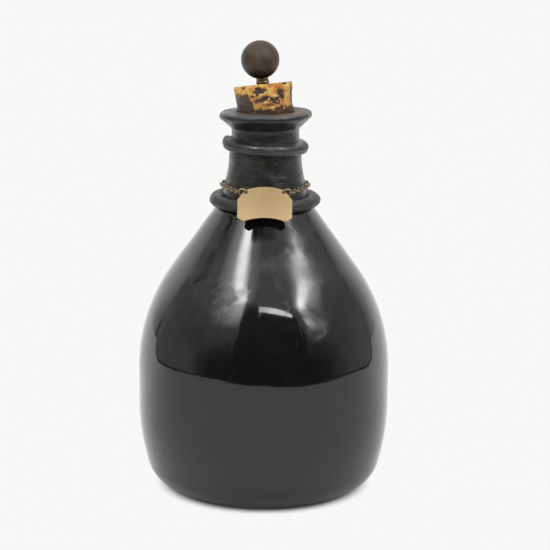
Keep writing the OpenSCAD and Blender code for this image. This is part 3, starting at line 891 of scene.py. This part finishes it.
def makeKnob(s, stopper):
    seat = stopper["corkH"] + stopper["stemH"]
    radius, stemR = stopper["knobR"], stopper["stemR"]
    middle = seat + math.sqrt(radius ** 2 - stemR ** 2)
    lowTurn = math.acos((middle - seat) / radius)
    dice = random.Random(s["seed"])
    dents = []
    while len(dents) < s["dents"]:
        way = Vector((dice.gauss(0, 1), dice.gauss(0, 1), dice.gauss(0, 1))).normalized()
        dents.append((way, dice.uniform(*s["dentSize"])))
    rings = []
    for k in range(s["rows"] + 1):
        t = lerp(math.pi - lowTurn, 0, k / s["rows"])
        ring = []
        for a in turnsOf(s["across"]):
            way = Vector((math.sin(t) * math.cos(a), math.sin(t) * math.sin(a), math.cos(t)))
            r = radius + s["uneven"] * noise.noise(way * s["unevenRate"])
            for at, size in dents:
                r -= s["dentDeep"] * (1 - ease(0, size, (way - at).length))
            spot = way * r
            ring.append(stopperPoint(spot.x, spot.y, spot.z + middle) * mm)
            if k == s["rows"]:
                break  # the crown is one point
        rings.append(ring)
    holeR = stopper["holeR"]
    socketTop = seat + s["socketH"]
    for z in (seat, socketTop):
        hole = [(holeR * math.cos(a), holeR * math.sin(a)) for a in turnsOf(s["across"])]
        rings.insert(0, [stopperPoint(x, y, z) * mm for x, y in hole])
    rings.insert(0, [stopperPoint(0, 0, socketTop) * mm])
    verts, faces = skinRings(rings)
    knob = addPiece("ball_knob_turned", verts, faces)
    knob.data.materials.append(makeKnobMaterial(s))
    place(knob, "stopper", ["ball_knob"])


# dark turned wood, waxed and handled
def makeKnobMaterial(s):
    material, tree, shader = newMaterial("dark turned knob")
    point = objectPoint(tree)
    figure = noiseAt(tree, stretched(tree, point, (1, 1, 0.4)), 190.0, 4.0, 0.6, 0.5)
    colour = ramp(tree, figure, [
        (0.38, (0.036, 0.023, 0.014)), (0.5, (0.052, 0.034, 0.022)), (0.62, (0.070, 0.048, 0.032))])
    worn = useGroup(tree, smudges, Scale=90.0, Level=0.55, Soft=0.15)
    colour = tint(tree, colour, (0.09, 0.062, 0.040), worn, 0.35)
    # pale chips in the wood, which also stand in for a small painted glint
    chips = useGroup(tree, specks, Scale=230.0, Size=0.09, Share=0.05)
    colour = tint(tree, colour, (0.36, 0.33, 0.30), chips, 0.7)
    below = remap(tree, axes(tree, point)["Z"], *s["under"])
    colour = tint(tree, colour, (0.004, 0.0025, 0.0015), below, 0.95)  # painted shade on the underside
    wire(tree, shader, Base_Color=colour, Roughness=remap(tree, figure, 0.3, 0.7, 0.46, 0.58), IOR=1.38)
    pores = noiseAt(tree, stretched(tree, point, (1, 1, 0.2)), 1500.0, 2.0)
    wire(tree, shader, Normal=bumpFrom(tree, pores, 0.00003))
    return material


makeKnob(knobSet, stopperSet)
print("knob made")


# metals: each keeps its own colours, and they share the grain, wear and stain
def makeMetal(name, spec):
    material, tree, shader = newMaterial(name)
    grain = useGroup(tree, fineGrain, Scale=spec["grainScale"], Stretch=spec["grainStretch"])
    stain = useGroup(tree, smudges, Scale=spec["stainScale"], Level=spec["stainLevel"], Soft=0.2)
    rub = useGroup(tree, edgeWear, Start=spec["rubStart"], Full=spec["rubFull"])
    colour = mixColour(tree, remap(tree, grain, 0.3, 0.7), spec["low"], spec["high"])
    colour = tint(tree, colour, spec["stain"], stain, spec["stainMix"])
    # painted shade: the colour darkens towards the top of the plate
    if "paintedShade" in spec:
        upper = remap(tree, axes(tree, objectPoint(tree))["Z"], *spec["paintedShadeOver"])
        colour = tint(tree, colour, spec["paintedShade"], upper, 0.8)
    colour = tint(tree, colour, spec["bright"], rub, spec["rubMix"])
    rough = remap(tree, grain, 0.25, 0.75, *spec["rough"])
    wire(tree, shader, Base_Color=colour, Metallic=1.0, Roughness=rough)
    marks = useGroup(tree, hairlines, Scale=160.0, Width=0.02, Level=0.58)
    skin = bumpFrom(tree, grain, spec["bump"])
    wire(tree, shader, Normal=bumpFrom(tree, marks, -spec["bump"], skin))
    return material


labelMetal = {
    "low": (0.365, 0.262, 0.140), "high": (0.412, 0.300, 0.165),
    "bright": (0.54, 0.42, 0.25), "stain": (0.305, 0.205, 0.102),
    "grainScale": 1500.0, "grainStretch": 0.08, "stainScale": 120.0, "stainLevel": 0.55, "stainMix": 0.4,
    "rubStart": 0.53, "rubFull": 0.62, "rubMix": 0.9, "rough": (0.50, 0.60), "bump": 0.000006,
    # painted shade towards the top of the plate
    "paintedShadeOver": (0.154, 0.172), "paintedShade": (0.262, 0.184, 0.097),
}
ringMetal = {
    "low": (0.34, 0.25, 0.16), "high": (0.46, 0.35, 0.23),
    "bright": (0.66, 0.53, 0.37), "stain": (0.20, 0.14, 0.08),
    "grainScale": 2500.0, "grainStretch": 0.5, "stainScale": 500.0, "stainLevel": 0.55, "stainMix": 0.6,
    "rubStart": 0.52, "rubFull": 0.6, "rubMix": 0.4, "rough": (0.28, 0.42), "bump": 0.000006,
}
# the chain's rubbed edges are pale enough to stand partly as painted highlights
chainMetal = {
    "low": (0.14, 0.105, 0.050), "high": (0.35, 0.275, 0.155),
    "bright": (0.80, 0.69, 0.47), "stain": (0.055, 0.042, 0.026),
    "grainScale": 1800.0, "grainStretch": 0.6, "stainScale": 420.0, "stainLevel": 0.45, "stainMix": 0.75,
    "rubStart": 0.52, "rubFull": 0.62, "rubMix": 0.6, "rough": (0.30, 0.48), "bump": 0.00001,
}
stemMetal = {
    "low": (0.25, 0.165, 0.075), "high": (0.42, 0.285, 0.13),
    "bright": (0.50, 0.37, 0.20), "stain": (0.045, 0.032, 0.02),
    "grainScale": 900.0, "grainStretch": 0.3, "stainScale": 260.0, "stainLevel": 0.45, "stainMix": 0.7,
    "rubStart": 0.52, "rubFull": 0.6, "rubMix": 0.5, "rough": (0.34, 0.5), "bump": 0.00001,
}
stemBrass = makeMetal("old stem brass", stemMetal)
labelBrass = makeMetal("rubbed label metal", labelMetal)
ringBrass = makeMetal("pale ring wire", ringMetal)
chainBrass = makeMetal("old chain wire", chainMetal)


def dress(nodeName, material):
    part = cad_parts[nodeName]
    part.data.materials.clear()
    part.data.materials.append(material)
    for face in part.data.polygons:
        face.material_index = 0


for nodeName in ("stem_ferrule", "spindle", "cork_washer", "spindle_nut"):
    dress(nodeName, stemBrass)
for nodeName in ("jump_ring_left", "jump_ring_right"):
    dress(nodeName, ringBrass)
links = [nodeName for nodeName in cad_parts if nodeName.startswith("chain_link_")]
for nodeName in links:
    dress(nodeName, chainBrass)
print("metal dressed on", len(links), "links")


# label: a bowed plate with cut corners and eased edges, hung by two holes
labelSet = {
    "wide": 30, "drop": 17, "crown": 2.8, "thick": 0.6, "bendR": 70, "topR": 34, "footR": 37, "footRise": 2,
    "topCut": (5.2, 4.2), "footCut": (3.6, 2.6), "holeX": 10.3, "holeR": 1.0, "lean": 28,
    "hinge": (27.045, 174.114), "edge": 0.14, "strip": 0.6, "curvePoints": 40, "holePoints": 32,
    "dent": (0.05, 8),
}


def labelOutline(s):
    side = s["wide"] / 2
    footX = side - s["footCut"][0]

    def crownAt(x):
        return s["crown"] - s["topR"] + math.sqrt(s["topR"] ** 2 - x * x)

    # the curved top runs out to where it meets the cut corner
    cutX, cutY = s["topCut"]
    topX = side - cutX
    while crownAt(topX) < s["crown"] - (topX - side + cutX) * (s["crown"] + cutY) / cutX:
        topX += 0.01
    steps = [i / s["curvePoints"] for i in range(s["curvePoints"] + 1)]
    points = [(x, crownAt(x)) for x in (lerp(-topX, topX, step) for step in steps)]
    points += [(side, -cutY), (side, s["footCut"][1] - s["drop"])]
    reach = s["footR"] + s["drop"] - s["footRise"]
    for x in (lerp(footX, -footX, step) for step in steps):
        points.append((x, max(math.sqrt(s["footR"] ** 2 - x * x) - reach, -s["drop"])))
    points += [(-side, s["footCut"][1] - s["drop"]), (-side, -cutY)]
    return points


# lines cut across a mesh, so that it can bend and shade evenly
def sliceMesh(work, places, across):
    for spot in places:
        everything = work.verts[:] + work.edges[:] + work.faces[:]
        bmesh.ops.bisect_plane(work, geom=everything, plane_co=across * spot, plane_no=across, dist=0.0001)


def makeLabel(s):
    work = bmesh.new()
    loops = [labelOutline(s)]
    for holeX in (-s["holeX"], s["holeX"]):
        turns = turnsOf(s["holePoints"])
        loops.append([(holeX + s["holeR"] * math.cos(t), s["holeR"] * math.sin(t)) for t in turns])
    border = []
    for loop in loops:
        spots = [work.verts.new((x, y, -s["thick"] / 2)) for x, y in loop]
        border += [work.edges.new((spots[i - 1], spots[i])) for i in range(len(spots))]
    bmesh.ops.triangle_fill(work, use_beauty=True, use_dissolve=False, edges=border)
    count = int(s["wide"] / s["strip"])
    sliceMesh(work, [i * s["strip"] - s["wide"] / 2 for i in range(1, count)], Vector((1, 0, 0)))

    # the second face and the edge between the two
    faces = [face.verts[:] for face in work.faces]
    rim = [edge.verts[:] for edge in work.edges if edge.is_boundary]
    twin = {vert: work.verts.new(vert.co + Vector((0, 0, s["thick"]))) for vert in work.verts[:]}
    for face in faces:
        work.faces.new([twin[vert] for vert in reversed(face)])
    for low, high in rim:
        work.faces.new((low, high, twin[high], twin[low]))
    bmesh.ops.recalc_face_normals(work, faces=work.faces)
    sharp = [edge for edge in work.edges if edge.calc_face_angle(0) > math.radians(60)]
    bmesh.ops.bevel(
        work, geom=sharp, offset=s["edge"], segments=2, profile=0.5, affect="EDGES", clamp_overlap=True)
    heights = [vert.co.y for vert in work.verts]
    count = int((max(heights) - min(heights)) / s["strip"])
    sliceMesh(work, [min(heights) + i * s["strip"] for i in range(1, count)], Vector((0, 1, 0)))

    # bowed, leaned back and hung from its hinge
    bend = s["bendR"]
    sag = bend - math.sqrt(bend ** 2 - s["holeX"] ** 2)
    tilt = Matrix.Rotation(math.radians(90 - s["lean"]), 4, "X")
    hinge = Vector((0, -s["hinge"][0], s["hinge"][1])) * mm
    for vert in work.verts:
        x, y, z = vert.co
        dent = unevenAt((x, y, 0), *s["dent"])
        bowed = Vector((x * (1 + z / bend), y, sag - bend + math.sqrt(bend ** 2 - x * x) + z + dent))
        vert.co = tilt @ (bowed * mm) + hinge
    mesh = bpy.data.meshes.new("label_sheet")
    work.to_mesh(mesh)
    work.free()
    label = addMesh("label_sheet", mesh)
    label.data.set_sharp_from_angle(angle=math.radians(40))
    label.data.materials.append(labelBrass)
    place(label, "label", ["label_plate"])


makeLabel(labelSet)
print("label made")


# pale floor: it keeps the shadow close to the foot, and is plain white further off
floorSet = {
    "rings": (0.2, 0.5, 1.0, 2.0, 4.0, 9.0), "sides": 96, "drop": 0.0002,
    "colour": (0.93, 0.93, 0.925), "faded": (0.92256, 0.92256, 0.9176), "white": (0.935, 0.935, 0.93),
    "frontGlow": (1.02, 1.02, 1.01), "backGlow": (1.4, 1.4, 1.39), "backFrom": (-0.05, 0.2),
    "seenFrom": (0.0525, 0.0640), "mirroredFrom": (0.051, 0.095),
}


def makeFloor(s):
    rings = [[Vector((0, 0, 0))]]
    for r in s["rings"]:
        rings.append([Vector((r * math.cos(a), r * math.sin(a), 0)) for a in turnsOf(s["sides"])])
    floor = addPiece("floor", *skinRings(rings))
    floor.location.z = -s["drop"]

    def build(tree):
        point = objectPoint(tree)
        cloud = remap(tree, noiseAt(tree, point, 3.0), 0.3, 0.7)
        paper = put(tree, "BsdfDiffuse", Color=mixColour(tree, cloud, s["colour"], s["faded"]))
        path = put(tree, "LightPath").outputs
        behind = remap(tree, axes(tree, point)["Y"], *s["backFrom"])
        mirrored = mixColour(tree, behind, s["frontGlow"], s["backGlow"])
        bright = mixColour(tree, path["Is Camera Ray"], mirrored, s["white"])
        glow = put(tree, "Emission", Color=bright, Strength=1.0)
        away = vectorCalc(tree, "LENGTH", point)["Value"]
        seen = times(tree, path["Is Camera Ray"], remap(tree, away, *s["seenFrom"]))
        shiny = larger(tree, path["Is Glossy Ray"], path["Is Transmission Ray"])
        shiny = times(tree, shiny, remap(tree, away, *s["mirroredFrom"]))
        return larger(tree, seen, shiny), paper, glow

    floor.data.materials.append(mixedMaterial("pale floor", build))


makeFloor(floorSet)

# soft light all round, as in a white tent: its back is brighter, with a dark seam where the front begins
tentSet = {
    "front": 0.62, "roof": 0.86, "roofOver": (0.35, 0.85), "side": 0.7, "back": 1.32, "backOver": (0.0, 0.3),
    "white": 0.935, "seam": 0.05, "seamWide": 0.042, "seamAt": (0.505, 0.35), "seamOver": (0.05, 0.42),
    "seamDrop": 0.36, "dropOver": (0.5, 0.8), "seamSkew": (-0.03, 0.115), "skewOver": (0.0, 0.4),
}


def makeTent(s):
    scene.world = bpy.data.worlds.new("tent")
    tree = emptyTree(scene.world)
    way = axes(tree, put(tree, "TexCoord").outputs["Generated"])
    skew = remap(tree, way["Z"], *s["skewOver"], *s["seamSkew"])
    start = remap(tree, way["Z"], *s["seamOver"], *s["seamAt"])
    start = calc(tree, "SUBTRACT", start, remap(tree, way["Z"], *s["dropOver"], 0.0, s["seamDrop"]))
    turned = calc(tree, "SUBTRACT", way["Y"], times(tree, way["X"], skew))
    behind = calc(tree, "SUBTRACT", turned, start)
    front = remap(tree, way["Z"], *s["roofOver"], s["front"], s["roof"])
    seam = remap(tree, behind, -s["seamWide"], -s["seamWide"] * 0.7)
    back = remap(tree, behind, -s["seamWide"] * 0.3, 0.0)
    further = remap(tree, behind, *s["backOver"], s["side"], s["back"])

    def blend(factor, a, b):
        return put(tree, "Mix", {"data_type": "FLOAT"}, Factor=factor, A=a, B=b).outputs[0]

    level = blend(back, blend(seam, front, s["seam"]), further)
    level = blend(put(tree, "LightPath").outputs["Is Camera Ray"], level, s["white"])
    sky = put(tree, "Background", Color=(1, 1, 1), Strength=level)
    put(tree, "OutputWorld", Surface=sky.outputs[0])


makeTent(tentSet)

# two soft lamps in front; the cards below give their shape in the reflections
lampSet = {"aim": (0, 0, 0.14), "away": 1.3, "wide": 0.3, "tall": 0.5, "lamps": [
    {"name": "left lamp", "turn": -40, "rise": 52, "glow": 5.0},
    {"name": "right lamp", "turn": 54, "rise": 47, "glow": 4.5},
]}


def wayTo(turnDeg, riseDeg):
    turn, rise = math.radians(turnDeg), math.radians(riseDeg)
    return Vector((math.sin(turn) * math.cos(rise), -math.cos(turn) * math.cos(rise), math.sin(rise)))


def makeLamp(s, lampSpec):
    data = bpy.data.lights.new(lampSpec["name"], "AREA")
    data.shape = "RECTANGLE"
    data.size = s["wide"]
    data.size_y = s["tall"]
    data.energy = lampSpec["glow"] * math.pi * s["wide"] * s["tall"]
    lamp = bpy.data.objects.new(lampSpec["name"], data)
    way = wayTo(lampSpec["turn"], lampSpec["rise"])
    lamp.location = Vector(s["aim"]) + way * s["away"]
    lamp.rotation_euler = (-way).to_track_quat("-Z", "Y").to_euler()
    lamp.visible_camera = False
    lamp.visible_glossy = False
    scene.collection.objects.link(lamp)


for spec in lampSet["lamps"]:
    makeLamp(lampSet, spec)

# the points in the bottle that the cards are seen from, and the lower edge of the dark opening over the label
shoulderAt = (0, -0.045, 0.135)
bellyAt = (0, -0.045, 0.115)
openingEdge = [
    (-54, 56.85), (-45, 58.0), (-34, 59.1), (-25, 60.15), (-18, 60.9), (-12, 61.2), (-6, 61.5),
    (2, 61.6), (10, 61.4), (19, 60.9), (27, 60.2), (36, 59.2), (46, 57.8), (54, 56.3)]


def risen(edge, rise):
    return [(turn, lift + rise) for turn, lift in edge]


def narrow(turn, rise):
    return [(turn - 0.6, rise), (turn, rise), (turn + 0.6, rise)]


# lit and dark cards round the front: each row has a share of the level and its (turn, rise) in degrees,
# and "shares" run across the rows
cardSet = {
    "left_glow": {
        "level": 18, "away": 1.1, "middle": shoulderAt, "shares": (0, 0.1, 1, 1, 0.22, 0), "rows": [
            (0.0, [(-6, 66), (-29, 65), (-44, 63), (-58, 60), (-72, 56), (-90, 50)]),
            (1.0, [(-6, 63), (-28, 61.6), (-41, 59.8), (-52, 57.8), (-63, 55), (-84, 47.8)]),
            (1.0, [(-6, 60.2), (-30, 58.4), (-42, 56.6), (-50, 55), (-60, 52.4), (-80, 45.6)]),
            (1.0, [(-10, 55.5), (-23.5, 54.5), (-31, 53.6), (-40, 52.2), (-48, 50.4), (-70, 44)]),
            (0.9, [(-12, 49), (-21.7, 48.2), (-26.5, 47.6), (-31, 46.9), (-37, 45.9), (-68.4, 37.4)]),
            (0.35, [(-16.4, 45.1), (-23, 44.4), (-27, 43.9), (-32.7, 43.1), (-47, 40.2), (-68.5, 33.8)]),
            (0.2, [(-22.5, 36.1), (-25, 35.8), (-27, 35.5), (-33, 34.6), (-46.6, 32), (-64.5, 27.3)]),
            (0.0, [(-24.7, 27.6), (-27, 27.3), (-29, 27), (-34, 26.3), (-47, 24), (-63, 20)])]},
    "right_glow": {
        "level": 20, "away": 1.1, "middle": shoulderAt, "shares": (0, 0.15, 1, 1, 0.25, 0), "rows": [
            (0.0, [(36, 66), (47, 64.5), (57, 62.5), (66, 60), (88, 53), (120, 36)]),
            (0.04, [(38, 59.2), (48.5, 57.3), (58.5, 55), (68, 52.2), (87, 45.2), (118, 28)]),
            (0.08, [(30, 58.2), (50, 55.4), (65, 51.4), (79, 46.6), (87, 43.4), (100, 37)]),
            (0.95, [(42, 56), (63, 51.4), (70.5, 49.1), (79, 46), (86, 43), (99, 37)]),
            (1.0, [(43.4, 54.9), (52, 53), (58, 51.5), (65.4, 49.4), (73, 46.9), (86, 41.6)]),
            (0.95, [(35, 42.7), (40.3, 41.8), (44, 41), (47.7, 40.1), (53.8, 38.6), (72.7, 32.5)]),
            (0.3, [(34.6, 39.3), (40.6, 38.2), (43.6, 37.6), (47.2, 36.8), (53.6, 35.2), (72, 29.4)]),
            (0.15, [(40.7, 34), (43.5, 33.4), (45.8, 32.9), (51, 31.8), (60, 29.4), (78, 23.5)]),
            (0.35, [(43.2, 29.4), (44.8, 29.1), (46.4, 28.8), (49.8, 28), (57.4, 26), (78, 19.7)]),
            (0.12, [(41.4, 23), (45.6, 22.3), (51, 21.2), (59, 19.2), (65.6, 17.6), (80, 13.3)]),
            (0.0, [(43, 16), (47.4, 15.5), (52.4, 14.5), (58.5, 13.2), (65, 11.7), (76.6, 8.6)])]},
    "bar_glow": {
        "level": 13, "away": 1.08, "middle": bellyAt, "shares": (1, 1), "rows": [
            (0.6, [(-6.2, 45.5), (-6, 41.6)]), (0.9, [(4.9, 45.2), (4.7, 41)]),
            (1.0, [(15.2, 43.8), (14.4, 39.8)]), (1.0, [(24.8, 41.3), (23.7, 37.8)]),
            (0.8, [(33.3, 37.4), (32.3, 35)])]},
    "opening_middle": {
        "level": 0.1, "away": 1.12, "middle": bellyAt, "shares": (1, 1, 1, 1, 0), "rows": [
            (1.0, [(-29, 5), (-28, 5), (7, 5), (42, 5), (44, 5)]),
            (1.0, [(-28, 22), (-27, 22), (7, 22), (41, 22), (43, 22)]),
            (0.95, [(-25, 39), (-24, 39), (7, 37), (36, 34), (38, 33)]),
            (0.72, [(-25, 44), (-24, 44), (7, 43), (34, 37), (36, 36)]),
            (0.0, [(-25, 48), (-24, 48), (7, 46), (34, 40), (36, 39)])]},
    "opening_top": {
        "level": 0.04, "away": 1.0, "middle": shoulderAt, "shares": (0.9,) + (1,) * 12 + (0.6,), "rows": [
            (0.0, risen(openingEdge, -0.18)), (1.0, risen(openingEdge, 0.26)),
            (1.0, risen(openingEdge, 5.3)), (0.0, risen(openingEdge, 6.1))]},
    "left_edge": {
        "level": 1.5, "away": 1.06, "middle": bellyAt, "shares": (0, 1, 0), "rows": [
            (0.4, narrow(-26.2, 39)), (1.0, narrow(-26.5, 33)),
            (0.8, narrow(-26.7, 26)), (0.0, narrow(-27.3, 17))]},
    "right_edge": {
        "level": 1.5, "away": 1.06, "middle": bellyAt, "shares": (0, 1, 0), "rows": [
            (0.4, narrow(38, 34)), (1.0, narrow(37.9, 29.3)),
            (0.8, narrow(38.3, 24.5)), (0.0, narrow(39.7, 17))]},
    "upper_glow": {
        "level": 24, "away": 1.05, "middle": shoulderAt, "shares": (0.9, 1, 0.6, 0.5, 0.8, 1, 0.8), "rows": [
            (1.0, [(-54, 66), (-34, 68), (-6, 69), (20, 69), (45, 67.3), (70, 62), (92, 54)]),
            (1.0, [(-56, 68.4), (-35, 70.4), (-6, 71.4), (20, 71.4), (47, 69.6), (73, 64.2), (96, 56)])]},
}

# the foot of the cloths at the sides, as (turn, distance), and how far it lifts towards the back
sideFoot = [
    (75, 0.77), (90, 0.69), (100, 0.635), (105, 0.606),
    (108.5, 0.587), (111, 0.575), (112.4, 0.568), (113, 0.565)]
sideLift = (0, 0, 0.001, 0.008, 0.022, 0.048, 0.085, 0.13)


# side is -1 at the left and 1 at the right; first is where the cloth begins at the front
def sideCloth(level, side, first, further, rows):
    feet = first + [(side * turn, away + further) for turn, away in sideFoot]
    return {
        "level": level, "feet": feet, "lift": (0,) * len(first) + sideLift,
        "rows": [(height, (share,) * len(feet)) for height, share in rows]}


def hem(side, start):
    return sideCloth(0.05, side, [(start, 0.83)], 0.0, [(0, 1), (0.008, 1), (0.012, 0)])


def sheet(side, start):
    return sideCloth(0.62, side, [(start, 0.84), (side * 60, 0.84)], 0.01, [(0, 1), (0.4, 1), (0.55, 0)])


# upright cloths standing on the floor, with a height and shares for each row
clothSet = {
    "opening_low": {
        "level": 0.06, "feet": [
            (-68, 0.82), (-60, 0.82), (-46, 0.8), (-38, 0.78), (-27, 0.66),
            (0, 0.66), (45, 0.66), (58, 0.68), (68, 0.70), (78, 0.72)], "lift": (0,) * 10, "rows": [
            (0, (0, 0.6, 1, 1, 1, 1, 1, 0.9, 0.5, 0)), (0.14, (0, 0.5, 1, 1, 1, 1, 1, 0.85, 0.45, 0)),
            (0.25, (0, 0.25, 0.6, 0.7, 0.7, 0.7, 0.7, 0.5, 0.25, 0)), (0.4, (0,) * 10)]},
    "left_hem": hem(-1, -62), "right_hem": hem(1, 60),
    "left_sheet": sheet(-1, -31), "right_sheet": sheet(1, 45),
}


def cardSpots(s):
    verts, shares = [], []
    for strength, row in s["rows"]:
        verts += [Vector(s["middle"]) + wayTo(turn, rise) * s["away"] for turn, rise in row]
        shares += [strength * share for share in s["shares"]]
    return verts, shares


def clothSpots(s):
    verts, shares = [], []
    for height, row in s["rows"]:
        for (turn, away), lift in zip(s["feet"], s["lift"]):
            verts.append(wayTo(turn, 0) * away + Vector((0, 0, height + lift)))
        shares += row
    return verts, shares


# a sheet that shows only in reflections, clear where its share is 0
def makeCard(name, s, spots):
    verts, shares = spots
    wide = len(verts) // len(s["rows"])
    faces = []
    for k in range(len(s["rows"]) - 1):
        for i in range(wide - 1):
            low = k * wide + i
            faces.append((low, low + 1, low + wide + 1, low + wide))
    card = addPiece(name, verts, faces)
    layer = card.data.attributes.new("share", "FLOAT", "POINT")
    layer.data.foreach_set("value", shares)

    def build(tree):
        share = put(tree, "Attribute", {"attribute_name": "share"}).outputs["Fac"]
        cloud = remap(tree, noiseAt(tree, objectPoint(tree), 5.0), 0.3, 0.7, 0.75, 1.0)
        woven = mixColour(tree, cloud, (0, 0, 0), (1, 1, 1))
        return share, put(tree, "BsdfTransparent"), put(tree, "Emission", Color=woven, Strength=s["level"])

    card.data.materials.append(mixedMaterial(name, build))
    card.visible_camera = False
    card.visible_shadow = False
    card.visible_diffuse = False


for cardName, spec in cardSet.items():
    makeCard(cardName, spec, cardSpots(spec))
for cardName, spec in clothSet.items():
    makeCard(cardName, spec, clothSpots(spec))
print("floor, tent, lamps and cards made")
